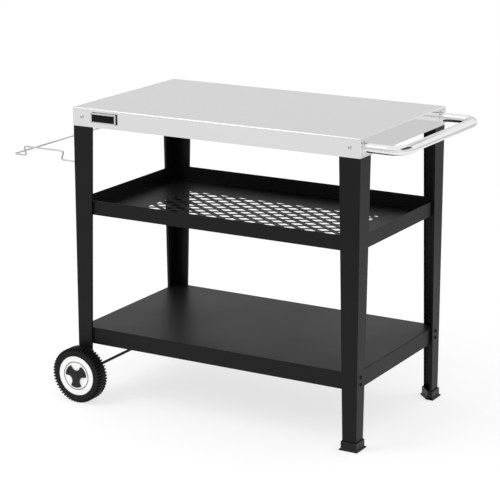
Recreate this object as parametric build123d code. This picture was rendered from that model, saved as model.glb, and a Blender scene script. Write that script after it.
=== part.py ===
"""Serving cart: folded worktop on four sheet legs, tray, shelf, handle, bag frame and wheels.

Frame: millimetres, Z up from the floor, front towards -Y, handle towards +X.
Origin: on the floor, at the middle of the cart's overall length and depth.
"""
from build123d import *
from math import cos, pi, radians, tan
import os

# Worktop
TOP_LENGTH = 870.0
TOP_DEPTH = 512.0
TOP_HEIGHT = 828.0
APRON = 50.5
TOP_SHEET = 1.0
TOP_BEND = 1.8

# Channels under the worktop
CHANNEL_HEIGHT = 18.0
CHANNEL_WIDTH = 44.0
CHANNEL_FLANGE = 13.0
CHANNEL_SHEET = 1.0
CHANNEL_SPACING = 236.0
CHANNEL_END_GAP = 84.0

# Legs: lipped angles that narrow towards the floor
LEG_WIDE = 61.0
LEG_NARROW = 39.5
LEG_SHEET = 1.5
LEG_LIP = 7.0
LEG_BEND = 1.8
LEG_TOP_GAP = 2.0
LEG_BELOW_AXLE = 22.0

# Tray and lower shelf
SHELF_SHEET = 1.0
SHELF_BEND = 2.0
SHELF_FIT = 0.6
TRAY_HEIGHT = 532.0
TRAY_WALL = 40.8
SHELF_HEIGHT = 209.3
SHELF_WALL = 46.3

# Field of lozenge holes in the tray floor
LOZENGE_LENGTH = 43.0
LOZENGE_WIDTH = 22.0
LOZENGE_PITCH = 60.7
LOZENGE_ROW_PITCH = 20.8
LOZENGE_SIDE_ROWS = 6
LOZENGE_SIDE_COLUMNS = 5

# Small bolts
BOLT = 6.0
BOLT_FIT = 0.3
BOLT_HEAD = 10.5
BOLT_HEAD_HEIGHT = 3.3
BOLT_SOCKET = 4.0
BOLT_SOCKET_DEPTH = 1.8
THREAD_FIT = 0.05
NUT_ACROSS = 10.0
NUT_HEIGHT = 5.0
NUT_PROUD = 1.5
APRON_BOLT_IN = 30.6
APRON_BOLT_DROP = 24.6
SHELF_BOLT_IN = 24.8
SHELF_BOLT_DROPS = (12.1, 31.2)
SPACER_DIAMETER = 12.0
TRAY_SCREW_RISES = (13.0, 31.0)
TRAY_SCREW_TIP_GAP = 0.5

# Handle
TUBE = 25.0
TUBE_WALL = 1.5
HANDLE_REACH = 103.0
HANDLE_ARM_IN = 24.7
HANDLE_DROP = 26.1
HANDLE_BEND = 38.0
PLUG_LENGTH = 20.0
HANDLE_BOLT = 8.0
HANDLE_BOLT_DEPTH = 17.0
HANDLE_BOLT_ACROSS = 13.0
HANDLE_BOLT_HEAD_HEIGHT = 5.3
WASHER_DIAMETER = 16.0
WASHER_THICKNESS = 1.6

# Bag frame
WIRE = 5.0
WIRE_FIT = 0.3
WIRE_BEND = 5.0
BAG_HEIGHT = 670.0
BAG_REACH = 220.0
BAG_ARM_IN = 26.9
BAG_CORNER_BEND = 10.0
HUMP_RISE = 25.0
HUMP_FOOT_NEAR = 60.3
HUMP_TOP_NEAR = 52.7
HUMP_TOP_FAR = 186.3
HUMP_FOOT_FAR = 178.8
TAIL_OFFSET = 6.8
TAIL_RISE = 24.0
BAG_TILT = 60.0

# Wheels and axle
WHEEL_RADIUS = 78.5
WHEEL_WIDTH = 42.0
WHEEL_OUTSIDE = 3.5
WHEEL_SIDE_PLAY = 0.3
AXLE = 8.0
AXLE_IN = 21.3
AXLE_FIT = 0.05
AXLE_PROUD = 2.0
AXLE_NUT_ACROSS = 13.0
AXLE_NUT_HEIGHT = 8.0
SPACER_RADIUS = 8.0

# Tyre
RIM_RADIUS = 56.0
TYRE_FIT = 0.1
TYRE_BEAD = 2.0
TYRE_SHOULDER = 5.0
LUG_COUNT = 54
LUG_DEPTH = 5.0
LUG_GROOVE = 4.2
LUG_GROOVE_MOUTH = 6.0
LUG_GROOVE_MIDDLE = 3.2
LUG_LENGTH = 11.0
LUG_FADE = 1.0

# Rim and hub cap
RIM_FACE_INSET = 2.0
RIM_FACE_SHEET = 4.0
RIM_BARREL = 4.0
RIM_BACK_INSET = 3.0
HUB_RADIUS = 16.0
HUB_LENGTH = 24.0
HUB_POCKET_RADIUS = 13.0
RING_GROOVE_RADIUS = 39.6
RING_GROOVE = 2.4
RING_GROOVE_DEPTH = 0.8
RIB_COUNT = 6
RIB_SHEET = 3.0
RIB_SETBACK = 8.0
CAP_RADIUS = 33.5
CAP_SHEET = 3.0
CAP_BITE = 15.0
CAP_WAIST = 15.5
CAP_CORNER = 3.5
CAP_LOBES = 3
CAP_BOSS_RADIUS = 9.0
CAP_BOSS_HEIGHT = 1.0
CAP_SKIRT = 2.2
CAP_SKIRT_LENGTH = 8.0
CAP_SKIRT_FIT = 0.1

# Feet
FOOT_SOLE = 4.0
FOOT_HEIGHT = 24.0
FOOT_FIT = 0.3
FOOT_WALL = 2.7
FOOT_FLARE = 4.0
FOOT_BASE = 2.5
FOOT_FLARE_RISE = 3.0
FOOT_NOSE = 11.0

# Name plate
PLATE_LENGTH = 81.0
PLATE_HEIGHT = 29.0
PLATE_THICKNESS = 4.5
PLATE_IN = 61.3
PLATE_DROP = 9.1
PLATE_CORNER = 2.0

# Places worked out from the sizes above
OVERALL_LENGTH = BAG_REACH + WIRE / 2 + TOP_LENGTH + HANDLE_REACH + TUBE / 2
X_LEFT = BAG_REACH + WIRE / 2 - OVERALL_LENGTH / 2
X_RIGHT = X_LEFT + TOP_LENGTH
X_MID = (X_LEFT + X_RIGHT) / 2
Y_FRONT = -TOP_DEPTH / 2
LEG_INSET = TOP_SHEET
LEG_FACE = LEG_INSET + LEG_SHEET
LEG_TOP = TOP_HEIGHT - TOP_SHEET - LEG_TOP_GAP
SHELF_INSET = LEG_INSET + LEG_LIP + SHELF_FIT
SHELF_FACE = SHELF_INSET + SHELF_SHEET
SHELF_LENGTH = TOP_LENGTH - 2 * SHELF_INSET
SHELF_DEPTH = TOP_DEPTH - 2 * SHELF_INSET
APRON_BOLT_HEIGHT = TOP_HEIGHT - APRON_BOLT_DROP
HANDLE_HEIGHT = TOP_HEIGHT - HANDLE_DROP
AXLE_HEIGHT = WHEEL_RADIUS
BOLT_HOLE = BOLT / 2 + BOLT_FIT
HANDLE_BOLT_HOLE = HANDLE_BOLT / 2 + BOLT_FIT
AXLE_HOLE = AXLE / 2 + BOLT_FIT
RIM_FACE = WHEEL_WIDTH - RIM_FACE_INSET
AXLE_NUT_SEAT = HUB_LENGTH + WHEEL_SIDE_PLAY + WASHER_THICKNESS
SLOT_HALF_HEIGHT = WIRE / 2 / cos(radians(BAG_TILT)) + LEG_SHEET / 2 * tan(radians(BAG_TILT)) + WIRE_FIT

BOTTOM = (Align.CENTER, Align.CENTER, Align.MIN)
TOP = (Align.CENTER, Align.CENTER, Align.MAX)
ENDS = ("left", "right")
SIDES = ("front", "back")
ALONG_X = Rot(0, 90, 0)
ALONG_Y = Rot(-90, 0, 0)


def at_corner(shape, end, side):
    """Move a piece modelled from the front left worktop corner to the named corner."""
    if end == "right":
        shape = mirror(shape, about=Plane.YZ)
    if side == "back":
        shape = mirror(shape, about=Plane.XZ)
    x = X_LEFT if end == "left" else X_RIGHT
    y = Y_FRONT if side == "front" else -Y_FRONT
    return Pos(x, y, 0) * shape


def group(shapes):
    """Separate solids as one node."""
    return Compound([solid for shape in shapes for solid in shape.solids()])


def folded_pan(length, depth, height, sheet, bend):
    """Sheet folded down on four sides, open below, standing on z = 0."""
    def block(inset, rise, radius):
        body = Box(length - 2 * inset, depth - 2 * inset, rise, align=BOTTOM)
        edges = body.edges().filter_by(Axis.Z) + body.edges().group_by(Axis.Z)[-1]
        return fillet(edges, radius)
    return block(0, height, bend) - block(sheet, height - sheet, bend - sheet)


def button_bolt(length):
    """Round-head bolt along +Z with the underside of its head at z = 0."""
    head = Cylinder(BOLT_HEAD / 2, BOLT_HEAD_HEIGHT, align=TOP)
    head = fillet(head.edges().group_by(Axis.Z)[0], BOLT_HEAD_HEIGHT - 0.5)
    socket = extrude(RegularPolygon(BOLT_SOCKET / 2, 6, major_radius=False), BOLT_SOCKET_DEPTH)
    shank = Cylinder(BOLT / 2, length, align=BOTTOM)
    return head + shank - Pos(0, 0, -BOLT_HEAD_HEIGHT) * socket


def hex_nut(across, height, bore_radius):
    """Hexagon nut along +Z from z = 0."""
    body = extrude(RegularPolygon(across / 2, 6, major_radius=False), height)
    return body - Cylinder(bore_radius, height, align=BOTTOM)


def sleeve(radius, length, bore_radius):
    """Round spacer or washer along +Z from z = 0."""
    return Cylinder(radius, length, align=BOTTOM) - Cylinder(bore_radius, length, align=BOTTOM)


def worktop():
    """Folded worktop with holes for the apron and handle bolts."""
    pan = folded_pan(TOP_LENGTH, TOP_DEPTH, APRON, TOP_SHEET, TOP_BEND)
    top = Pos(X_MID, 0, TOP_HEIGHT - APRON) * pan
    small = Cylinder(BOLT_HOLE, 4 * TOP_SHEET)
    front = Pos(APRON_BOLT_IN, 0, APRON_BOLT_HEIGHT) * ALONG_Y * small
    left = Pos(0, APRON_BOLT_IN, APRON_BOLT_HEIGHT) * ALONG_X * small
    right = Pos(0, HANDLE_ARM_IN, HANDLE_HEIGHT) * ALONG_X * Cylinder(HANDLE_BOLT_HOLE, 4 * TOP_SHEET)
    for side in SIDES:
        for end in ENDS:
            top -= at_corner(front, end, side)
        top -= at_corner(left, "left", side)
        top -= at_corner(right, "right", side)
    return top


def stiffener(side):
    """Hat channel under the worktop."""
    length = TOP_LENGTH - 2 * CHANNEL_END_GAP
    half = CHANNEL_WIDTH / 2
    flange = half + CHANNEL_FLANGE
    s = CHANNEL_SHEET
    h = CHANNEL_HEIGHT
    outline = [(-flange, 0), (-flange, -s), (-half, -s), (-half, -h), (half, -h), (half, -s), (flange, -s),
               (flange, 0), (half - s, 0), (half - s, s - h), (s - half, s - h), (s - half, 0), (-flange, 0)]
    section = make_face(Polyline(*outline))
    channel = extrude(Plane.YZ * section, length / 2, both=True)
    y = CHANNEL_SPACING / 2 if side == "back" else -CHANNEL_SPACING / 2
    return Pos(X_MID, y, TOP_HEIGHT - TOP_SHEET) * channel


def leg_width(z):
    """Flange width of a leg at height z."""
    return LEG_NARROW + (LEG_WIDE - LEG_NARROW) * z / LEG_TOP


def leg_angle(bottom):
    """Tapered angle with lipped free edges, its corner just behind the apron."""
    low = leg_width(bottom)
    high = leg_width(LEG_TOP)

    def strip(low_edge, high_edge, depth):
        outline = [(low_edge, bottom), (low, bottom), (high, LEG_TOP), (high_edge, LEG_TOP), (low_edge, bottom)]
        return extrude(Plane.XZ * make_face(Polyline(*outline)), -depth)

    half = strip(0, 0, LEG_SHEET) + strip(low - LEG_SHEET, high - LEG_SHEET, LEG_LIP)
    angle = half + mirror(half, about=Plane((0, 0, 0), z_dir=(1, -1, 0)))
    height = (bottom + LEG_TOP) / 2
    for spot, radius in ((0, LEG_BEND), (LEG_SHEET, LEG_BEND - LEG_SHEET)):
        edge = angle.edges().filter_by(Axis.Z).sort_by_distance((spot, spot, height))[0]
        angle = fillet(edge, radius)
    return Pos(LEG_INSET, LEG_INSET, 0) * angle


def leg(end, side):
    """One leg with the holes that its corner needs."""
    angle = leg_angle(AXLE_HEIGHT - LEG_BELOW_AXLE if end == "left" else FOOT_SOLE)
    small = Cylinder(BOLT_HOLE, 4 * LEG_FACE)
    angle -= Pos(APRON_BOLT_IN, 0, APRON_BOLT_HEIGHT) * ALONG_Y * small
    for drop in SHELF_BOLT_DROPS:
        angle -= Pos(0, SHELF_BOLT_IN, SHELF_HEIGHT - drop) * ALONG_X * small
    if end == "left":
        angle -= Pos(0, APRON_BOLT_IN, APRON_BOLT_HEIGHT) * ALONG_X * small
        angle -= Pos(AXLE_IN, 0, AXLE_HEIGHT) * ALONG_Y * Cylinder(AXLE_HOLE, 4 * LEG_FACE)
        slot = extrude(SlotOverall(2 * SLOT_HALF_HEIGHT, WIRE + 2 * WIRE_FIT), 2 * LEG_FACE, both=True)
        angle -= Pos(0, BAG_ARM_IN, BAG_HEIGHT) * ALONG_X * slot
    else:
        hole = Cylinder(HANDLE_BOLT_HOLE, 4 * LEG_FACE)
        angle -= Pos(0, HANDLE_ARM_IN, HANDLE_HEIGHT) * ALONG_X * hole
    return at_corner(angle, end, side)


def end_wall_holes(heights):
    """Bolt holes through the end walls of a shelf, at all four corners."""
    hole = Cylinder(BOLT_HOLE, 4 * SHELF_SHEET)
    return [at_corner(Pos(SHELF_INSET, SHELF_BOLT_IN, z) * ALONG_X * hole, end, side)
            for z in heights for end in ENDS for side in SIDES]


def lozenge_field():
    """Staggered lozenges, cut off square through the outermost ones."""
    half = LOZENGE_LENGTH / 2
    rise = LOZENGE_WIDTH / 2
    lozenge = make_face(Polyline((half, 0), (0, rise), (-half, 0), (0, -rise), (half, 0)))
    shapes = []
    for row in range(-LOZENGE_SIDE_ROWS, LOZENGE_SIDE_ROWS + 1):
        odd = row % 2
        for column in range(-LOZENGE_SIDE_COLUMNS, LOZENGE_SIDE_COLUMNS + 1 - odd):
            shapes.append(Pos((column + odd / 2) * LOZENGE_PITCH, row * LOZENGE_ROW_PITCH) * lozenge)
    border = Rectangle(2 * LOZENGE_SIDE_COLUMNS * LOZENGE_PITCH, 2 * LOZENGE_SIDE_ROWS * LOZENGE_ROW_PITCH)
    return Sketch() + shapes & border


def tray_shelf():
    """Perforated tray with its walls upright."""
    pan = Rot(180, 0, 0) * folded_pan(SHELF_LENGTH, SHELF_DEPTH, TRAY_WALL, SHELF_SHEET, SHELF_BEND)
    pan -= Pos(0, 0, -TRAY_WALL) * extrude(lozenge_field(), 2 * SHELF_SHEET, both=True)
    tray = Pos(X_MID, 0, TRAY_HEIGHT + TRAY_WALL) * pan
    return tray - end_wall_holes([TRAY_HEIGHT + rise for rise in TRAY_SCREW_RISES])


def lower_shelf():
    """Flat shelf with its walls turned down."""
    pan = folded_pan(SHELF_LENGTH, SHELF_DEPTH, SHELF_WALL, SHELF_SHEET, SHELF_BEND)
    shelf = Pos(X_MID, 0, SHELF_HEIGHT - SHELF_WALL) * pan
    return shelf - end_wall_holes([SHELF_HEIGHT - drop for drop in SHELF_BOLT_DROPS])


def apron_places():
    """Where the apron bolts go: along Y on front and back, along X on the left end."""
    places = [(Pos(APRON_BOLT_IN, 0, APRON_BOLT_HEIGHT) * ALONG_Y, end, side) for end in ENDS for side in SIDES]
    return places + [(Pos(0, APRON_BOLT_IN, APRON_BOLT_HEIGHT) * ALONG_X, "left", side) for side in SIDES]


def apron_bolts():
    """Round-head bolts through the apron and the legs."""
    bolt = button_bolt(LEG_FACE + NUT_HEIGHT + NUT_PROUD)
    return group([at_corner(place * bolt, end, side) for place, end, side in apron_places()])


def apron_nuts():
    """Nuts on the apron bolts, behind the leg flanges."""
    nut = Pos(0, 0, LEG_FACE) * hex_nut(NUT_ACROSS, NUT_HEIGHT, BOLT / 2 + THREAD_FIT)
    return group([at_corner(place * nut, end, side) for place, end, side in apron_places()])


def in_end_flanges(shape, inward, heights):
    """Copies of a piece along X through the end flanges of all four legs."""
    return group([at_corner(Pos(inward, SHELF_BOLT_IN, z) * ALONG_X * shape, end, side)
                  for z in heights for end in ENDS for side in SIDES])


def shelf_hardware():
    """Bolts, spacers and nuts that hold the lower shelf, and the tray's screws and weld nuts."""
    low = [SHELF_HEIGHT - drop for drop in SHELF_BOLT_DROPS]
    high = [TRAY_HEIGHT + rise for rise in TRAY_SCREW_RISES]
    gap = SHELF_INSET - LEG_FACE
    bolt = button_bolt(SHELF_FACE - LEG_INSET + NUT_HEIGHT + NUT_PROUD)
    screw = Rot(180, 0, 0) * button_bolt(SHELF_FACE - LEG_FACE - TRAY_SCREW_TIP_GAP)
    threaded = BOLT / 2 + THREAD_FIT
    return {
        "shelf_bolts": in_end_flanges(bolt, LEG_INSET, low),
        "shelf_spacers": in_end_flanges(sleeve(SPACER_DIAMETER / 2, gap, BOLT_HOLE), LEG_FACE, low),
        "shelf_nuts": in_end_flanges(hex_nut(NUT_ACROSS, NUT_HEIGHT, threaded), SHELF_FACE, low),
        "tray_screws": in_end_flanges(screw, SHELF_FACE, high),
        "tray_nuts": in_end_flanges(hex_nut(NUT_ACROSS, gap, threaded), LEG_FACE, high),
    }


def handle_tube():
    """Bent tube standing on the right-hand apron."""
    y = -Y_FRONT - HANDLE_ARM_IN
    bar = X_RIGHT + HANDLE_REACH
    corners = [(X_RIGHT, -y), (bar, -y), (bar, y), (X_RIGHT, y)]
    path = FilletPolyline(*[(a, b, HANDLE_HEIGHT) for a, b in corners], radius=HANDLE_BEND)
    section = Circle(TUBE / 2) - Circle(TUBE / 2 - TUBE_WALL)
    return sweep(Plane(path @ 0, z_dir=path % 0) * section, path=path)


def at_handle_ends(shape):
    """Copies of a piece along X at the two handle ends, modelled outwards from the apron face."""
    place = Pos(0, HANDLE_ARM_IN, HANDLE_HEIGHT) * Rot(0, -90, 0)
    return group([at_corner(place * shape, "right", side) for side in SIDES])


def handle_hardware():
    """Threaded plugs in the tube ends, and the bolts and washers behind the leg flanges."""
    plug = sleeve(TUBE / 2 - TUBE_WALL - THREAD_FIT, PLUG_LENGTH, HANDLE_BOLT / 2 + THREAD_FIT)
    washer = sleeve(WASHER_DIAMETER / 2, WASHER_THICKNESS, HANDLE_BOLT_HOLE)
    grip = LEG_FACE + WASHER_THICKNESS
    head = extrude(RegularPolygon(HANDLE_BOLT_ACROSS / 2, 6, major_radius=False), -HANDLE_BOLT_HEAD_HEIGHT)
    bolt = head + Cylinder(HANDLE_BOLT / 2, grip + HANDLE_BOLT_DEPTH, align=BOTTOM)
    return {
        "handle_plugs": at_handle_ends(plug),
        "handle_washers": at_handle_ends(Pos(0, 0, -grip) * washer),
        "handle_bolts": at_handle_ends(Pos(0, 0, -grip) * bolt),
    }


def bag_frame():
    """Wire frame that hooks through the left legs, with a hump in each arm."""
    tail_foot = X_LEFT + LEG_FACE + TAIL_OFFSET
    tail_tip = X_LEFT + LEG_FACE + WIRE / 2 + WIRE_FIT
    arm = [(tail_tip, TAIL_RISE), (tail_foot, 0), (X_LEFT - HUMP_FOOT_NEAR, 0),
           (X_LEFT - HUMP_TOP_NEAR, HUMP_RISE), (X_LEFT - HUMP_TOP_FAR, HUMP_RISE),
           (X_LEFT - HUMP_FOOT_FAR, 0), (X_LEFT - BAG_REACH, 0)]
    y = Y_FRONT + BAG_ARM_IN
    points = [(a, y, BAG_HEIGHT + b) for a, b in arm] + [(a, -y, BAG_HEIGHT + b) for a, b in reversed(arm)]
    bends = [WIRE_BEND] * 5 + [BAG_CORNER_BEND] * 2 + [WIRE_BEND] * 5
    path = FilletPolyline(*points, radius=bends)
    return sweep(Plane(path @ 0, z_dir=path % 0) * Circle(WIRE / 2), path=path)


def foot(side):
    """Flared cap under a right leg."""
    width = leg_width(FOOT_HEIGHT)

    def outline(grow):
        far = width + grow
        nose = FOOT_NOSE + grow * (2 ** 0.5 - 1)
        points = [(-grow, -grow), (far, -grow), (far, nose), (nose, far), (-grow, far), (-grow, -grow)]
        return make_face(Polyline(*points))

    collar_grow = FOOT_FIT + FOOT_WALL
    base = outline(collar_grow + FOOT_FLARE)
    shoulder = FOOT_BASE + FOOT_FLARE_RISE
    flare = loft([Pos(0, 0, FOOT_BASE) * base, Pos(0, 0, shoulder) * outline(collar_grow)])
    cap = extrude(base, FOOT_BASE) + flare
    cap += Pos(0, 0, shoulder) * extrude(outline(collar_grow), FOOT_HEIGHT - shoulder)
    cap -= Pos(0, 0, FOOT_SOLE) * extrude(outline(FOOT_FIT), FOOT_HEIGHT)
    return at_corner(Pos(LEG_INSET, LEG_INSET, 0) * cap, "right", side)


def at_wheel(shape, side):
    """Place a piece modelled along +Z from the wheel's inner face."""
    y = Y_FRONT - WHEEL_OUTSIDE
    turned = Rot(90, 0, 0) * shape
    if side == "back":
        turned = mirror(turned, about=Plane.XZ)
        y = -y
    return Pos(X_LEFT + AXLE_IN, y, AXLE_HEIGHT) * turned


def revolved(points):
    """Solid of revolution about Z from (radius, z) points."""
    return revolve(Plane.XZ * make_face(Polyline(*points, points[0])), Axis.Z)


def tyre_body(radius):
    """Round-shouldered tyre without grooves."""
    w = WHEEL_WIDTH
    foot = RIM_RADIUS + TYRE_BEAD
    outline = [(RIM_RADIUS, TYRE_BEAD), (foot, 0), (radius, 0), (radius, w), (foot, w), (RIM_RADIUS, w - TYRE_BEAD)]
    section = make_face(Polyline(*outline, outline[0]))
    shoulders = section.vertices().group_by(Axis.X)[-1]
    return revolve(Plane.XZ * fillet(shoulders, TYRE_SHOULDER), Axis.Z)


def tyre():
    """Tyre with chevron grooves that follow its shoulders and fade out on the side walls."""
    w = WHEEL_WIDTH
    end = LUG_LENGTH
    a = LUG_GROOVE / 2
    m = LUG_GROOVE_MIDDLE / 2
    mouth = LUG_GROOVE_MOUTH / 2
    apex = pi * WHEEL_RADIUS / LUG_COUNT
    ribbon = [(-mouth, -1), (-a, end), (apex - m, w / 2), (-a, w - end), (-mouth, w + 1), (mouth, w + 1),
              (a, w - end), (apex + m, w / 2), (a, end), (mouth, -1), (-mouth, -1)]
    floor = WHEEL_RADIUS - LUG_DEPTH
    lowest = floor - TYRE_SHOULDER + LUG_FADE
    prism = extrude(Plane.YZ * make_face(Polyline(*ribbon)), WHEEL_RADIUS + LUG_DEPTH - lowest)
    groove = Pos(lowest, 0, 0) * prism - tyre_body(floor)
    return tyre_body(WHEEL_RADIUS) - [Rot(0, 0, index * 360 / LUG_COUNT) * groove for index in range(LUG_COUNT)]


def rim():
    """Moulded wheel with a hub, a face ring, a barrel for the tyre and ribs behind."""
    bore = AXLE / 2 + AXLE_FIT
    back = RIM_FACE - RIM_FACE_SHEET
    outer = RIM_RADIUS - TYRE_FIT
    inner = outer - RIM_BARREL
    ring_in = RING_GROOVE_RADIUS - RING_GROOVE / 2
    ring_out = RING_GROOVE_RADIUS + RING_GROOVE / 2
    ring_floor = RIM_FACE - RING_GROOVE_DEPTH
    body = revolved([(bore, 0), (HUB_RADIUS, 0), (HUB_RADIUS, back), (inner, back), (inner, RIM_BACK_INSET),
                     (outer, RIM_BACK_INSET), (outer, RIM_FACE), (ring_out, RIM_FACE), (ring_out, ring_floor),
                     (ring_in, ring_floor), (ring_in, RIM_FACE), (HUB_POCKET_RADIUS, RIM_FACE),
                     (HUB_POCKET_RADIUS, HUB_LENGTH), (bore, HUB_LENGTH)])
    middle = (HUB_RADIUS + inner) / 2
    rib = Pos(middle, 0, RIB_SETBACK) * Box(inner - HUB_RADIUS + 2, RIB_SHEET, back - RIB_SETBACK, align=BOTTOM)
    return body + [Rot(0, 0, index * 360 / RIB_COUNT) * rib for index in range(RIB_COUNT)]


def hub_cap():
    """Three-lobed cap with a skirt that plugs into the hub."""
    lobes = Circle(CAP_RADIUS)
    for index in range(CAP_LOBES):
        lobes -= Rot(0, 0, 90 + index * 360 / CAP_LOBES) * Pos(CAP_WAIST + CAP_BITE, 0) * Circle(CAP_BITE)
    lobes = fillet(lobes.vertices(), CAP_CORNER)
    plate = Pos(0, 0, RIM_FACE) * extrude(lobes, CAP_SHEET)
    boss = Pos(0, 0, RIM_FACE + CAP_SHEET) * Cylinder(CAP_BOSS_RADIUS, CAP_BOSS_HEIGHT, align=BOTTOM)
    skirt_radius = HUB_POCKET_RADIUS - CAP_SKIRT_FIT
    skirt = sleeve(skirt_radius, CAP_SKIRT_LENGTH, skirt_radius - CAP_SKIRT)
    return plate + boss + Pos(0, 0, RIM_FACE - CAP_SKIRT_LENGTH) * skirt


def axle_hardware():
    """Rod through both left legs, with a spacer, washer and nut at each wheel."""
    tip = AXLE_NUT_SEAT + AXLE_NUT_HEIGHT + AXLE_PROUD
    length = TOP_DEPTH + 2 * WHEEL_OUTSIDE + 2 * tip
    rod = Pos(X_LEFT + AXLE_IN, 0, AXLE_HEIGHT) * ALONG_Y * Cylinder(AXLE / 2, length)
    gap = WHEEL_OUTSIDE + LEG_INSET
    spacer = Pos(0, 0, -gap) * sleeve(SPACER_RADIUS, gap - WHEEL_SIDE_PLAY, AXLE_HOLE)
    washer = Pos(0, 0, HUB_LENGTH + WHEEL_SIDE_PLAY) * sleeve(WASHER_DIAMETER / 2, WASHER_THICKNESS, AXLE_HOLE)
    nut = Pos(0, 0, AXLE_NUT_SEAT) * hex_nut(AXLE_NUT_ACROSS, AXLE_NUT_HEIGHT, AXLE / 2 + THREAD_FIT)
    return {
        "axle_rod": rod,
        "axle_spacers": group([at_wheel(spacer, side) for side in SIDES]),
        "axle_washers": group([at_wheel(washer, side) for side in SIDES]),
        "axle_nuts": group([at_wheel(nut, side) for side in SIDES]),
    }


def name_plate():
    """Blank block on the front apron."""
    face = RectangleRounded(PLATE_LENGTH, PLATE_HEIGHT, PLATE_CORNER)
    x = X_LEFT + PLATE_IN + PLATE_LENGTH / 2
    z = TOP_HEIGHT - PLATE_DROP - PLATE_HEIGHT / 2
    return Pos(x, Y_FRONT, z) * extrude(Plane.XZ * face, PLATE_THICKNESS)


def build_nodes():
    """Every node of the cart by name."""
    nodes = {
        "worktop": worktop(),
        "tray_shelf": tray_shelf(),
        "lower_shelf": lower_shelf(),
        "apron_bolts": apron_bolts(),
        "apron_nuts": apron_nuts(),
        "handle_tube": handle_tube(),
        "bag_frame": bag_frame(),
        "name_plate": name_plate(),
    }
    nodes.update(shelf_hardware())
    nodes.update(handle_hardware())
    nodes.update(axle_hardware())
    wheel = {"tyre": tyre(), "rim": rim(), "cap": hub_cap()}
    for side in SIDES:
        nodes[f"stiffener_{side}"] = stiffener(side)
        nodes[f"foot_{side}"] = foot(side)
        for end in ENDS:
            nodes[f"leg_{side}_{end}"] = leg(end, side)
        for piece, shape in wheel.items():
            nodes[f"wheel_{side}_{piece}"] = at_wheel(shape, side)
    return nodes


os.makedirs("parts", exist_ok=True)
for name, shape in build_nodes().items():
    export_step(shape, f"parts/{name}.step")
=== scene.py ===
"""Looks of the serving cart: finishes for its CAD nodes, small added pieces, studio and camera."""

from __future__ import annotations

import logging
import math
from dataclasses import dataclass
from enum import Enum

import bpy
from mathutils import Matrix, Vector

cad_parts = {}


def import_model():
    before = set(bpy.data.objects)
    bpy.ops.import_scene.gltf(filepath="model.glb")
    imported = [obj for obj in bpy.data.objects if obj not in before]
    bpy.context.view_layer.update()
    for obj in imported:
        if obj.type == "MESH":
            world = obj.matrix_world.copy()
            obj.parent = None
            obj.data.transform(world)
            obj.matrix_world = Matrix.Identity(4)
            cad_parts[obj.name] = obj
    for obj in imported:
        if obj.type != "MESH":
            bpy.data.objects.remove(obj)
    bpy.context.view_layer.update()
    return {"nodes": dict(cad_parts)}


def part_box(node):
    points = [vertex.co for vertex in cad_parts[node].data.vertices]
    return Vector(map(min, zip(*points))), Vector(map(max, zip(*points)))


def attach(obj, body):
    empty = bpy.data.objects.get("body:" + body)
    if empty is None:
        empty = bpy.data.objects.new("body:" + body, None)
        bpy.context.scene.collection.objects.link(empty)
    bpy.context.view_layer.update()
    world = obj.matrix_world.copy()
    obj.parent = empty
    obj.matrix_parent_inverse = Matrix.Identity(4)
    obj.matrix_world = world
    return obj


LOG = logging.getLogger("serving_cart")
Colour = tuple[float, float, float]
Triple = tuple[float, float, float]


class Texture(Enum):
    """Fine surface texture of a finish."""

    BRUSHED = "brushed_grain"
    PEEL = "coat_peel"
    MOULDED = "moulded_skin"


class WheelSide(Enum):
    """The two wheels, by the sign of the way they face along Y."""

    FRONT = -1
    BACK = 1

    @property
    def word(self) -> str:
        """Name used in nodes and bodies."""
        return self.name.lower()


# Detail and roughness of the fine noise of each texture
FINE_NOISE: dict[Texture, tuple[float, float]] = {
    Texture.BRUSHED: (4.0, 0.5),
    Texture.PEEL: (2.0, 0.6),
    Texture.MOULDED: (6.0, 0.7),
}
# Scale that draws the noise out along X into brush lines
BRUSH_STRETCH: Triple = (0.012, 1.0, 1.0)
PATCH_DETAIL = 3.0
# Share of the large patches in a texture's mask
PATCH_SHARE = 0.5
# Part of the mask's range over which the roughness changes
MASK_LOW = 0.3
MASK_HIGH = 0.7

# Angles above which an edge is shaded sharp
SHARP_WALL = math.radians(35.0)
SHARP_RING = math.radians(40.0)
# Angle above which a wall's edge is rounded, and the steps of the rounding
ROUNDED_WALL = math.radians(40.0)
WALL_SEGMENTS = 2
# Distance below which the first and last points of a turned ring are joined
MERGE_DISTANCE = 0.00001

# Glow of the upright screens all round, and of the floor screens at the two ends
WALL_GLOW = 0.73
END_FLOOR_GLOW = 0.75


def new_group(
    name: str, inputs: dict[str, float]
) -> tuple[bpy.types.NodeTree, bpy.types.Node, bpy.types.Node]:
    """Make an empty shader group with float inputs and the outputs Mask and Height.

    Args:
        name: Name of the group.
        inputs: Input names with their default values.

    Returns:
        The group, its input node and its output node.
    """
    tree = bpy.data.node_groups.new(name, "ShaderNodeTree")
    for label, value in inputs.items():
        socket = tree.interface.new_socket(
            name=label, in_out="INPUT", socket_type="NodeSocketFloat"
        )
        socket.default_value = value
    for label in ("Mask", "Height"):
        tree.interface.new_socket(name=label, in_out="OUTPUT", socket_type="NodeSocketFloat")
    return tree, tree.nodes.new("NodeGroupInput"), tree.nodes.new("NodeGroupOutput")


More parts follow.
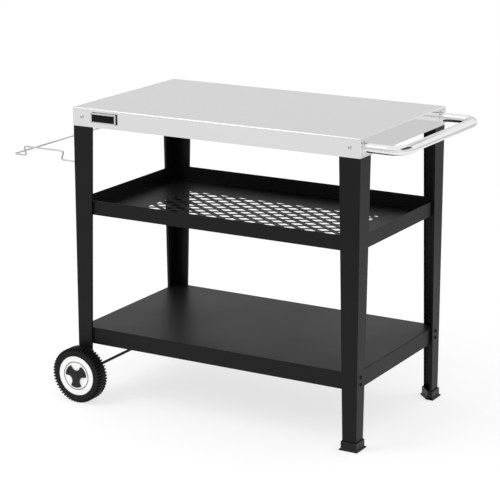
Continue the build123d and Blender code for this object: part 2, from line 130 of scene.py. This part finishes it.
def texture_group(texture: Texture) -> bpy.types.NodeTree:
    """Give the shader group of a fine texture, made once.

    Args:
        texture: Which texture.

    Returns:
        A group with inputs Scale and Patch, and outputs Mask and Height.
    """
    found = bpy.data.node_groups.get(texture.value)
    if found is not None:
        return found
    tree, entry, leave = new_group(texture.value, {"Scale": 1000.0, "Patch": 4.0})
    place = tree.nodes.new("ShaderNodeTexCoord")
    fine = tree.nodes.new("ShaderNodeTexNoise")
    patch = tree.nodes.new("ShaderNodeTexNoise")
    patch.inputs["Detail"].default_value = PATCH_DETAIL
    detail, roughness = FINE_NOISE[texture]
    fine.inputs["Detail"].default_value = detail
    fine.inputs["Roughness"].default_value = roughness
    source = place.outputs["Object"]
    if texture is Texture.BRUSHED:
        stretch = tree.nodes.new("ShaderNodeMapping")
        stretch.inputs["Scale"].default_value = BRUSH_STRETCH
        tree.links.new(source, stretch.inputs["Vector"])
        source = stretch.outputs["Vector"]
    tree.links.new(source, fine.inputs["Vector"])
    tree.links.new(place.outputs["Object"], patch.inputs["Vector"])
    tree.links.new(entry.outputs["Scale"], fine.inputs["Scale"])
    tree.links.new(entry.outputs["Patch"], patch.inputs["Scale"])
    blend = tree.nodes.new("ShaderNodeMix")
    blend.inputs["Factor"].default_value = PATCH_SHARE
    tree.links.new(fine.outputs["Fac"], blend.inputs["A"])
    tree.links.new(patch.outputs["Fac"], blend.inputs["B"])
    tree.links.new(blend.outputs["Result"], leave.inputs["Mask"])
    tree.links.new(fine.outputs["Fac"], leave.inputs["Height"])
    return tree


@dataclass(frozen=True)
class Finish:
    """A surface finish: two close colours and two close roughnesses mixed by a fine texture."""

    name: str
    dark: Colour
    light: Colour
    smooth: float
    rough: float
    texture: Texture
    scale: float
    patch: float = 4.0
    bump: float = 0.1
    depth: float = 0.0002
    metallic: float = 0.0
    specular: float = 0.5

    def material(self) -> bpy.types.Material:
        """Make the material, or give the one made before."""
        found = bpy.data.materials.get(self.name)
        if found is not None:
            return found
        made = bpy.data.materials.new(self.name)
        made.use_nodes = True
        nodes = made.node_tree.nodes
        links = made.node_tree.links
        shader = nodes["Principled BSDF"]
        shader.inputs["Metallic"].default_value = self.metallic
        shader.inputs["Specular IOR Level"].default_value = self.specular
        group = nodes.new("ShaderNodeGroup")
        group.node_tree = texture_group(self.texture)
        group.inputs["Scale"].default_value = self.scale
        group.inputs["Patch"].default_value = self.patch
        tint = nodes.new("ShaderNodeMix")
        tint.data_type = "RGBA"
        tint.inputs["A"].default_value = (*self.dark, 1.0)
        tint.inputs["B"].default_value = (*self.light, 1.0)
        gloss = nodes.new("ShaderNodeMapRange")
        gloss.inputs["From Min"].default_value = MASK_LOW
        gloss.inputs["From Max"].default_value = MASK_HIGH
        gloss.inputs["To Min"].default_value = self.smooth
        gloss.inputs["To Max"].default_value = self.rough
        relief = nodes.new("ShaderNodeBump")
        relief.inputs["Strength"].default_value = self.bump
        relief.inputs["Distance"].default_value = self.depth
        links.new(group.outputs["Mask"], tint.inputs["Factor"])
        links.new(group.outputs["Mask"], gloss.inputs["Value"])
        links.new(group.outputs["Height"], relief.inputs["Height"])
        links.new(tint.outputs["Result"], shader.inputs["Base Color"])
        links.new(gloss.outputs["Result"], shader.inputs["Roughness"])
        links.new(relief.outputs["Normal"], shader.inputs["Normal"])
        return made


SATIN_STEEL = Finish(
    name="satin_steel",
    dark=(0.82, 0.82, 0.82),
    light=(0.88, 0.88, 0.88),
    smooth=0.08,
    rough=0.12,
    texture=Texture.BRUSHED,
    scale=2500.0,
    bump=0.05,
    depth=0.00005,
    metallic=1.0,
)
CHROME = Finish(
    name="bright_chrome",
    dark=(0.80, 0.80, 0.81),
    light=(0.86, 0.86, 0.87),
    smooth=0.06,
    rough=0.1,
    texture=Texture.MOULDED,
    scale=300.0,
    bump=0.01,
    depth=0.00002,
    metallic=1.0,
)
WIRE_NICKEL = Finish(
    name="wire_nickel",
    dark=(0.56, 0.56, 0.56),
    light=(0.64, 0.64, 0.64),
    smooth=0.1,
    rough=0.16,
    texture=Texture.MOULDED,
    scale=300.0,
    bump=0.02,
    depth=0.00002,
    metallic=1.0,
)
ZINC = Finish(
    name="bright_zinc",
    dark=(0.52, 0.52, 0.52),
    light=(0.66, 0.66, 0.65),
    smooth=0.2,
    rough=0.32,
    texture=Texture.MOULDED,
    scale=900.0,
    bump=0.08,
    depth=0.00005,
    metallic=1.0,
)
POWDER_COAT = Finish(
    name="black_powder_coat",
    dark=(0.0045, 0.0045, 0.0047),
    light=(0.0070, 0.0070, 0.0072),
    smooth=0.36,
    rough=0.48,
    texture=Texture.PEEL,
    scale=1500.0,
    bump=0.12,
    depth=0.0001,
    specular=0.17,
)
BLACK_STEEL = Finish(
    name="blackened_steel",
    dark=(0.003, 0.003, 0.003),
    light=(0.006, 0.006, 0.006),
    smooth=0.3,
    rough=0.42,
    texture=Texture.MOULDED,
    scale=1200.0,
    bump=0.06,
    depth=0.00005,
    specular=0.2,
)
RUBBER = Finish(
    name="tyre_rubber",
    dark=(0.004, 0.004, 0.004),
    light=(0.009, 0.009, 0.009),
    smooth=0.5,
    rough=0.7,
    texture=Texture.MOULDED,
    scale=700.0,
    bump=0.25,
    depth=0.0002,
    specular=0.2,
)
WHITE_PLASTIC = Finish(
    name="white_plastic",
    dark=(0.92, 0.92, 0.91),
    light=(0.97, 0.97, 0.96),
    smooth=0.32,
    rough=0.42,
    texture=Texture.MOULDED,
    scale=900.0,
    bump=0.06,
    depth=0.0001,
)
DARK_PLASTIC = Finish(
    name="dark_plastic",
    dark=(0.007, 0.007, 0.007),
    light=(0.012, 0.012, 0.012),
    smooth=0.34,
    rough=0.46,
    texture=Texture.MOULDED,
    scale=900.0,
    bump=0.08,
    depth=0.0001,
    specular=0.25,
)
RIM_SATIN = Finish(
    name="rim_satin",
    dark=(0.70, 0.70, 0.70),
    light=(0.78, 0.78, 0.78),
    smooth=0.2,
    rough=0.3,
    texture=Texture.BRUSHED,
    scale=3000.0,
    bump=0.05,
    depth=0.00005,
    metallic=1.0,
)
RING_GREY = Finish(
    name="ring_grey",
    dark=(0.03, 0.03, 0.03),
    light=(0.05, 0.05, 0.05),
    smooth=0.4,
    rough=0.5,
    texture=Texture.MOULDED,
    scale=900.0,
    bump=0.06,
    depth=0.0001,
    specular=0.3,
)
FOOT_PLASTIC = Finish(
    name="foot_plastic",
    dark=(0.004, 0.004, 0.004),
    light=(0.008, 0.008, 0.008),
    smooth=0.38,
    rough=0.5,
    texture=Texture.MOULDED,
    scale=1000.0,
    bump=0.08,
    depth=0.0001,
    specular=0.25,
)
PLATE_BLACK = Finish(
    name="plate_black",
    dark=(0.003, 0.003, 0.003),
    light=(0.005, 0.005, 0.005),
    smooth=0.2,
    rough=0.28,
    texture=Texture.MOULDED,
    scale=1200.0,
    bump=0.03,
    depth=0.00005,
    specular=0.12,
)

NODE_FINISHES: dict[str, Finish] = {
    "worktop": SATIN_STEEL,
    "stiffener_front": POWDER_COAT,
    "stiffener_back": POWDER_COAT,
    "leg_front_left": POWDER_COAT,
    "leg_front_right": POWDER_COAT,
    "leg_back_left": POWDER_COAT,
    "leg_back_right": POWDER_COAT,
    "tray_shelf": POWDER_COAT,
    "lower_shelf": POWDER_COAT,
    "handle_tube": CHROME,
    "bag_frame": WIRE_NICKEL,
    "name_plate": PLATE_BLACK,
    "apron_bolts": ZINC,
    "apron_nuts": ZINC,
    "shelf_bolts": BLACK_STEEL,
    "shelf_nuts": ZINC,
    "shelf_spacers": ZINC,
    "tray_screws": BLACK_STEEL,
    "tray_nuts": ZINC,
    "handle_plugs": ZINC,
    "handle_washers": ZINC,
    "handle_bolts": ZINC,
    "foot_front": FOOT_PLASTIC,
    "foot_back": FOOT_PLASTIC,
    "axle_rod": BLACK_STEEL,
    "axle_spacers": ZINC,
    "axle_washers": ZINC,
    "axle_nuts": ZINC,
    "wheel_front_tyre": RUBBER,
    "wheel_back_tyre": RUBBER,
    "wheel_front_rim": WHITE_PLASTIC,
    "wheel_back_rim": WHITE_PLASTIC,
    "wheel_front_cap": DARK_PLASTIC,
    "wheel_back_cap": DARK_PLASTIC,
}


def dress(piece: bpy.types.Object, finish: Finish) -> None:
    """Give a piece one finish all over.

    Args:
        piece: Mesh object.
        finish: Finish to wear.
    """
    piece.data.materials.clear()
    piece.data.materials.append(finish.material())
    LOG.info("%s wears %s", piece.name, finish.name)


def start_plane(
    name: str, centre: Triple, width: float, height: float, facing_front: bool
) -> bpy.types.Object:
    """Add a flat rectangle in edit mode, with its place in its mesh and all of it selected.

    Args:
        name: Name of the piece.
        centre: Middle of the rectangle.
        width: Size along X.
        height: Size along Z where it faces the front, or along Y where it lies flat.
        facing_front: Whether it faces -Y or lies flat, facing up.

    Returns:
        The new object.
    """
    bpy.ops.object.select_all(action="DESELECT")
    turn = (math.pi / 2.0, 0.0, 0.0) if facing_front else (0.0, 0.0, 0.0)
    bpy.ops.mesh.primitive_plane_add(size=1.0, location=centre, rotation=turn)
    piece = bpy.context.object
    piece.name = name
    piece.scale = (width, height, 1.0)
    bpy.ops.object.transform_apply(location=True, rotation=True, scale=True)
    bpy.ops.object.mode_set(mode="EDIT")
    bpy.ops.mesh.select_all(action="SELECT")
    return piece


def add_walls(piece: bpy.types.Object, thickness: float, outward: float, edge: float) -> None:
    """Leave edit mode, give a flat piece its thickness and round its edges.

    Args:
        piece: Mesh object in edit mode.
        thickness: Thickness of the sheet.
        outward: 1 to grow along the normals, -1 to grow behind them.
        edge: Width of the rounded edges.
    """
    bpy.ops.object.mode_set(mode="OBJECT")
    solid = piece.modifiers.new("thickness", "SOLIDIFY")
    solid.thickness = thickness
    solid.offset = outward
    bpy.ops.object.modifier_apply(modifier="thickness")
    rounding = piece.modifiers.new("edges", "BEVEL")
    rounding.width = edge
    rounding.segments = WALL_SEGMENTS
    rounding.limit_method = "ANGLE"
    rounding.angle_limit = ROUNDED_WALL
    bpy.ops.object.modifier_apply(modifier="edges")
    bpy.ops.object.shade_smooth_by_angle(angle=SHARP_WALL)


def close_ring(centre: Triple, axis: Triple, steps: int) -> None:
    """Turn the flat profile in edit mode once round an axis, and leave edit mode.

    Args:
        centre: Point on the axis.
        axis: Direction of the axis.
        steps: Number of steps round the ring.
    """
    bpy.ops.mesh.delete(type="ONLY_FACE")
    bpy.ops.mesh.select_all(action="SELECT")
    bpy.ops.mesh.spin(steps=steps, angle=2.0 * math.pi, center=centre, axis=axis)
    bpy.ops.mesh.select_all(action="SELECT")
    bpy.ops.mesh.remove_doubles(threshold=MERGE_DISTANCE)
    bpy.ops.mesh.normals_make_consistent(inside=False)
    bpy.ops.object.mode_set(mode="OBJECT")
    bpy.ops.object.shade_smooth_by_angle(angle=SHARP_RING)


def hand_over(piece: bpy.types.Object, finish: Finish, body: str) -> None:
    """Dress a new piece and say what carries it.

    Args:
        piece: Finished mesh object.
        finish: Finish to wear.
        body: Body that it moves with.
    """
    dress(piece, finish)
    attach(piece, body)


@dataclass
class NameBadge:
    """Front of the block on the front apron: a satin rim round a bare, crowned black panel."""

    rim_width: float = 0.0044
    rim_proud: float = 0.001
    rim_corner: float = 0.0025
    rim_corner_segments: int = 5
    panel_proud: float = 0.0005
    panel_corner: float = 0.0012
    panel_corner_segments: int = 4
    panel_slope: float = 0.0004
    panel_crown: float = 0.0004
    edge: float = 0.00025

    def build(self) -> None:
        """Make the rim and the panel on the front of the block."""
        low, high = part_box("name_plate")
        centre = ((low[0] + high[0]) / 2.0, low[1], (low[2] + high[2]) / 2.0)
        width = high[0] - low[0]
        height = high[2] - low[2]
        self.build_rim(centre, width, height)
        self.build_panel(centre, width - 2.0 * self.rim_width, height - 2.0 * self.rim_width)

    def build_rim(self, centre: Triple, width: float, height: float) -> None:
        """Make the satin rim: a rounded plate with its middle taken out.

        Args:
            centre: Middle of the block's front face.
            width: Width of the block.
            height: Height of the block.
        """
        rim = start_plane("badge_rim", centre, width, height, True)
        bpy.ops.mesh.bevel(
            offset=self.rim_corner, segments=self.rim_corner_segments, affect="VERTICES"
        )
        bpy.ops.mesh.inset(thickness=self.rim_width, depth=0.0)
        bpy.ops.mesh.delete(type="FACE")
        add_walls(rim, self.rim_proud, 1.0, self.edge)
        hand_over(rim, RIM_SATIN, "cart")

    def build_panel(self, centre: Triple, width: float, height: float) -> None:
        """Make the black panel inside the rim, with its middle raised a little.

        Args:
            centre: Middle of the block's front face.
            width: Clear width inside the rim.
            height: Clear height inside the rim.
        """
        face = (centre[0], centre[1] - self.panel_proud, centre[2])
        panel = start_plane("badge_panel", face, width, height, True)
        bpy.ops.mesh.bevel(
            offset=self.panel_corner, segments=self.panel_corner_segments, affect="VERTICES"
        )
        bpy.ops.mesh.inset(thickness=self.panel_slope, depth=self.panel_crown)
        add_walls(panel, self.panel_proud, -1.0, self.edge / 2.0)
        hand_over(panel, PLATE_BLACK, "cart")


@dataclass
class HandleCollars:
    """Chrome collars round the two ends of the tube handle, where they meet the apron."""

    overhang: float = 0.0042
    thickness: float = 0.0026
    fit: float = 0.0001
    corner_share: float = 0.35
    corner_segments: int = 4
    steps: int = 64

    def build(self) -> None:
        """Turn the front collar round its arm of the handle and copy it to the back arm."""
        tube_low, tube_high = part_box("handle_tube")
        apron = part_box("worktop")[1][0]
        radius = (tube_high[2] - tube_low[2]) / 2.0
        base = (apron, tube_low[1] + radius, (tube_high[2] + tube_low[2]) / 2.0)
        middle = (
            apron + self.thickness / 2.0,
            base[1] + radius + self.fit + self.overhang / 2.0,
            base[2],
        )
        collar = start_plane("handle_collar_front", middle, self.thickness, self.overhang, False)
        bpy.ops.mesh.bevel(
            offset=self.thickness * self.corner_share,
            segments=self.corner_segments,
            affect="VERTICES",
        )
        close_ring(base, (1.0, 0.0, 0.0), self.steps)
        twin = collar.copy()
        twin.data = collar.data.copy()
        twin.name = "handle_collar_back"
        between_arms = tube_high[1] - tube_low[1] - 2.0 * radius
        twin.data.transform(Matrix.Translation((0.0, between_arms, 0.0)))
        bpy.context.scene.collection.objects.link(twin)
        for piece in (collar, twin):
            hand_over(piece, CHROME, "cart")


@dataclass
class WheelTrim:
    """Turned trim of one wheel: the line in the rim's groove and a bead on the tyre's side."""

    side: WheelSide
    line_radius: float = 0.0396
    line_width: float = 0.0024
    line_depth: float = 0.0008
    line_proud: float = 0.0002
    bead_radius: float = 0.0605
    bead_width: float = 0.0022
    bead_height: float = 0.0009
    corner_share: float = 0.3
    corner_segments: int = 3
    steps: int = 96

    def build(self) -> None:
        """Make both rings of this wheel."""
        self.build_line()
        self.build_bead()

    def face_of(self, node: str) -> Triple:
        """Give the middle of a node's outer face.

        Args:
            node: CAD node of this wheel.

        Returns:
            The point on the wheel's axle at that face.
        """
        low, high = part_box(node)
        outer = low[1] if self.side is WheelSide.FRONT else high[1]
        return ((low[0] + high[0]) / 2.0, outer, (low[2] + high[2]) / 2.0)

    def turn_ring(
        self, name: str, face: Triple, radius: float, width: float, inner: float, outer: float
    ) -> bpy.types.Object:
        """Turn a small profile with rounded corners once round the axle.

        Args:
            name: Name of the piece.
            face: Middle of the face that the ring lies on.
            radius: Middle radius of the ring.
            width: Width of the profile.
            inner: How far the profile goes in behind the face.
            outer: How far the profile stands proud of the face.

        Returns:
            The turned ring.
        """
        sign = self.side.value
        middle = (face[0] + radius, face[1] + sign * (outer - inner) / 2.0, face[2])
        ring = start_plane(name, middle, width, inner + outer, False)
        corner = min(width, inner + outer) * self.corner_share
        bpy.ops.mesh.bevel(offset=corner, segments=self.corner_segments, affect="VERTICES")
        close_ring(face, (0.0, 1.0, 0.0), self.steps)
        return ring

    def build_line(self) -> None:
        """Make the dark line that fills the groove of the rim's face."""
        word = self.side.word
        line = self.turn_ring(
            f"wheel_{word}_line",
            self.face_of(f"wheel_{word}_rim"),
            self.line_radius,
            self.line_width,
            self.line_depth,
            self.line_proud,
        )
        hand_over(line, RING_GREY, f"{word}_wheel")

    def build_bead(self) -> None:
        """Make the raised bead on the tyre's side wall."""
        word = self.side.word
        bead = self.turn_ring(
            f"wheel_{word}_bead",
            self.face_of(f"wheel_{word}_tyre"),
            self.bead_radius,
            self.bead_width,
            self.bead_height,
            self.bead_height,
        )
        hand_over(bead, RUBBER, f"{word}_wheel")


@dataclass(frozen=True)
class Lamp:
    """A soft square lamp that faces a point on the cart, and may show in reflections."""

    name: str
    place: Triple
    size: float
    power: float
    mirrored: bool
    target: Triple = (0.05, 0.0, 0.5)

    def hang(self) -> None:
        """Add the lamp to the scene."""
        lamp = bpy.data.lights.new(self.name, "AREA")
        lamp.shape = "SQUARE"
        lamp.size = self.size
        lamp.energy = self.power
        holder = bpy.data.objects.new(self.name, lamp)
        holder.location = self.place
        aim = Vector(self.target) - Vector(self.place)
        holder.rotation_euler = aim.to_track_quat("-Z", "Y").to_euler()
        holder.visible_glossy = self.mirrored
        bpy.context.scene.collection.objects.link(holder)


@dataclass(frozen=True)
class Screen:
    """A flat screen that shows only in reflections, as the walls of a photo tent do."""

    name: str
    place: Triple
    size: tuple[float, float]
    glow: float
    target: Triple

    def hang(self) -> None:
        """Add the screen to the scene, facing its target."""
        bpy.ops.object.select_all(action="DESELECT")
        bpy.ops.mesh.primitive_plane_add(size=1.0, location=self.place)
        screen = bpy.context.object
        screen.name = self.name
        screen.scale = (*self.size, 1.0)
        aim = Vector(self.target) - Vector(self.place)
        screen.rotation_euler = aim.to_track_quat("Z", "Y").to_euler()
        made = bpy.data.materials.new(self.name)
        made.use_nodes = True
        shader = made.node_tree.nodes["Principled BSDF"]
        shader.inputs["Base Color"].default_value = (0.0, 0.0, 0.0, 1.0)
        shader.inputs["Specular IOR Level"].default_value = 0.0
        shader.inputs["Emission Color"].default_value = (1.0, 1.0, 1.0, 1.0)
        shader.inputs["Emission Strength"].default_value = self.glow
        screen.data.materials.append(made)
        screen.visible_camera = False
        screen.visible_diffuse = False
        screen.visible_shadow = False


@dataclass
class Studio:
    """Floor, screens, lamps and camera."""

    camera_place: Triple = (2.54045, -4.37667, 1.77338)
    camera_pitch: float = 14.985
    camera_yaw: float = 29.893
    lens: float = 136.04
    sensor: float = 36.0
    sight: float = 200.0
    floor_size: float = 120.0
    floor_drop: float = 0.0005
    floor_albedo: float = 0.35
    floor_glow: float = 0.52
    floor_glow_seen: float = 0.70
    sky: float = 0.88
    sky_seen: float = 1.0
    screens: tuple[Screen, ...] = (
        Screen("side_screen", (9.22, 2.93, 8.51), (18.0, 7.8), 0.08, (0.58, -0.21, 0.8)),
        Screen("back_floor_screen", (1.0, 3.5, 0.002), (9.0, 3.6), 0.69, (1.0, 3.5, 1.0)),
        Screen("front_floor_screen", (-1.75, -3.6, 0.002), (8.5, 4.8), 0.83, (-1.75, -3.6, 1.0)),
        Screen(
            "left_floor_screen",
            (-4.0, 0.25, 0.002),
            (5.0, 2.9),
            END_FLOOR_GLOW,
            (-4.0, 0.25, 1.0),
        ),
        Screen(
            "right_floor_screen",
            (4.2, 0.25, 0.002),
            (4.0, 2.9),
            END_FLOOR_GLOW,
            (4.2, 0.25, 1.0),
        ),
        Screen("back_screen", (-2.55, 5.5, 2.1), (8.9, 2.0), WALL_GLOW, (-2.55, 0.0, 2.1)),
        Screen("corner_screen", (5.55, 5.5, 2.05), (1.9, 2.3), WALL_GLOW, (5.55, 0.0, 2.05)),
        Screen("left_screen", (-6.0, -0.5, 2.4), (12.0, 3.0), WALL_GLOW, (0.0, -0.5, 2.4)),
        Screen("right_screen", (6.5, -0.25, 2.05), (12.5, 2.3), WALL_GLOW, (0.0, -0.25, 2.05)),
        Screen("tall_front_screen", (0.0, -6.5, 2.4), (13.0, 3.0), WALL_GLOW, (0.0, 0.0, 2.4)),
        Screen("high_screen", (0.0, 5.5, 4.0), (14.0, 0.9), 0.6, (0.0, 0.0, 0.8)),
        Screen("front_screen", (-2.4, -4.8, 0.8), (5.0, 0.9), 0.6, (0.5, -0.2, 0.8)),
    )
    # Mirrored, the front lamp turns half of the worktop white for a camera behind the cart
    lamps: tuple[Lamp, ...] = (
        Lamp("top_lamp", (-1.5, -1.8, 3.0), 1.2, 16.0, mirrored=True),
        Lamp("front_lamp", (-2.2, -3.2, 2.4), 1.5, 26.0, mirrored=False),
    )

    def build(self) -> None:
        """Make the whole studio."""
        self.add_floor()
        for screen in self.screens:
            screen.hang()
        self.light_world()
        for lamp in self.lamps:
            lamp.hang()
        self.add_camera()

    @staticmethod
    def by_ray(tree: bpy.types.NodeTree, others: float, seen: float) -> bpy.types.NodeSocket:
        """Give one value for what is seen, straight or in a reflection, and another for the rest.

        Args:
            tree: Node tree of the material or world.
            others: Value for light that falls on the cart.
            seen: Value that the camera sees, straight, in a reflection or through glass.

        Returns:
            The output socket.
        """
        path = tree.nodes.new("ShaderNodeLightPath")
        chosen = path.outputs["Is Camera Ray"]
        for kind in ("Is Glossy Ray", "Is Transmission Ray"):
            either = tree.nodes.new("ShaderNodeMath")
            either.operation = "MAXIMUM"
            tree.links.new(chosen, either.inputs[0])
            tree.links.new(path.outputs[kind], either.inputs[1])
            chosen = either.outputs["Value"]
        choice = tree.nodes.new("ShaderNodeMapRange")
        choice.inputs["To Min"].default_value = others
        choice.inputs["To Max"].default_value = seen
        tree.links.new(chosen, choice.inputs["Value"])
        return choice.outputs["Result"]

    def add_floor(self) -> None:
        """Add the white floor, part of it lit, so that it keeps a soft shadow of the cart."""
        bpy.ops.object.select_all(action="DESELECT")
        bpy.ops.mesh.primitive_plane_add(
            size=self.floor_size, location=(0.0, 0.0, -self.floor_drop)
        )
        floor = bpy.context.object
        floor.name = "floor"
        made = bpy.data.materials.new("pale_floor")
        made.use_nodes = True
        shader = made.node_tree.nodes["Principled BSDF"]
        shader.inputs["Base Color"].default_value = (self.floor_albedo,) * 3 + (1.0,)
        shader.inputs["Roughness"].default_value = 1.0
        shader.inputs["Specular IOR Level"].default_value = 0.0
        shader.inputs["Emission Color"].default_value = (1.0, 1.0, 1.0, 1.0)
        glow = self.by_ray(made.node_tree, self.floor_glow, self.floor_glow_seen)
        made.node_tree.links.new(glow, shader.inputs["Emission Strength"])
        floor.data.materials.append(made)

    def light_world(self) -> None:
        """Light the cart evenly from all round."""
        world = bpy.data.worlds.new("studio_world")
        world.use_nodes = True
        bpy.context.scene.world = world
        tree = world.node_tree
        background = tree.nodes["Background"]
        background.inputs["Color"].default_value = (1.0, 1.0, 1.0, 1.0)
        strength = self.by_ray(tree, self.sky, self.sky_seen)
        tree.links.new(strength, background.inputs["Strength"])

    def add_camera(self) -> None:
        """Add the camera at the photograph's point of view."""
        camera = bpy.data.cameras.new("camera")
        camera.lens = self.lens
        camera.sensor_width = self.sensor
        camera.sensor_fit = "HORIZONTAL"
        camera.clip_end = self.sight
        holder = bpy.data.objects.new("camera", camera)
        holder.location = self.camera_place
        tilt = math.radians(90.0 - self.camera_pitch)
        holder.rotation_euler = (tilt, 0.0, math.radians(self.camera_yaw))
        bpy.context.scene.collection.objects.link(holder)
        bpy.context.scene.camera = holder


def main() -> None:
    """Build the looks of the cart."""
    logging.basicConfig(level=logging.INFO)
    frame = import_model()
    bpy.context.scene.view_settings.view_transform = "Standard"
    for name, finish in NODE_FINISHES.items():
        dress(frame["nodes"][name], finish)
    NameBadge().build()
    HandleCollars().build()
    for side in WheelSide:
        WheelTrim(side).build()
    Studio().build()


if __name__ == "__main__":
    main()
